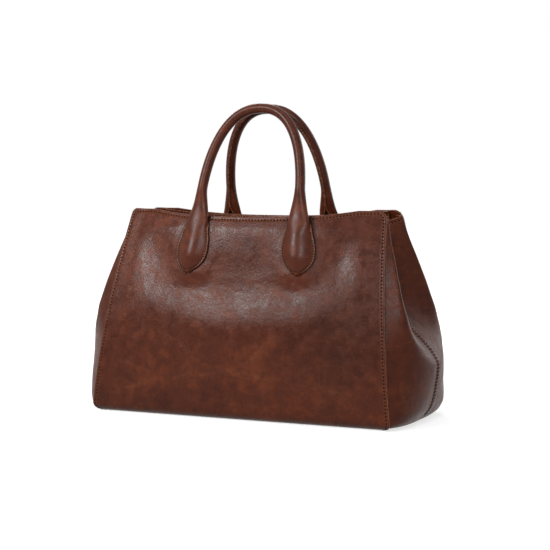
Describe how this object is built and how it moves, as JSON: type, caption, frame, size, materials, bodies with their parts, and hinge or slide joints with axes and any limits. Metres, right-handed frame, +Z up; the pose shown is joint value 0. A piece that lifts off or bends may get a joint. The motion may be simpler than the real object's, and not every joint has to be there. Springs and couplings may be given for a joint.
{
  "type": "leather tote bag",
  "caption": "Open-topped leather tote with a flat base, side gussets that fold in towards the rim, and a pair of rolled handles on stitched teardrop tabs.",
  "frame": {"origin": "middle of the base, on the surface that the bag stands on", "axes": "+X to the right along the bag's width, -Y to the front, +Z up"},
  "size_m": [0.405, 0.154, 0.3409],
  "materials": {
    "body_leather": "semi-gloss chestnut brown with fine grain",
    "handle_leather": "semi-gloss chestnut brown, dark painted edges",
    "facing_leather": "satin brown",
    "lining_cloth": "matt dark brown twill",
    "board": "matt fibreboard",
    "core_rope": "dark twisted filler",
    "snap_metal": "pale plated metal"
  },
  "bodies": {
    "bag": {"front_panel": "body_leather", "back_panel": "body_leather", "right_gusset_front": "body_leather", "right_gusset_rear": "body_leather", "left_gusset_front": "body_leather", "left_gusset_rear": "body_leather", "front_facing": "facing_leather", "back_facing": "facing_leather", "front_lining": "lining_cloth", "back_lining": "lining_cloth", "right_lining": "lining_cloth", "left_lining": "lining_cloth", "base_lining": "lining_cloth", "base_board": "board", "front_right_tab": "handle_leather", "front_left_tab": "handle_leather", "rear_right_tab": "handle_leather", "rear_left_tab": "handle_leather", "front_right_patch": "board", "front_left_patch": "board", "rear_right_patch": "board", "rear_left_patch": "board", "front_snap": "snap_metal", "rear_snap": "snap_metal", "front_snap_washer": "snap_metal", "rear_snap_washer": "snap_metal"},
    "front_handle": {"front_handle_wrap": "handle_leather", "front_handle_core": "core_rope"},
    "rear_handle": {"rear_handle_wrap": "handle_leather", "rear_handle_core": "core_rope"}
  },
  "joints": [
    {"name": "front_handle_fold", "type": "hinge", "parent": "bag", "child": "front_handle", "pos_m": [0, -0.052, 0.2061], "axis": [1, 0, 0], "range_deg": [-1, 110]},
    {"name": "rear_handle_fold", "type": "hinge", "parent": "bag", "child": "rear_handle", "pos_m": [0, 0.052, 0.2061], "axis": [-1, 0, 0], "range_deg": [-1, 110]}
  ]
}
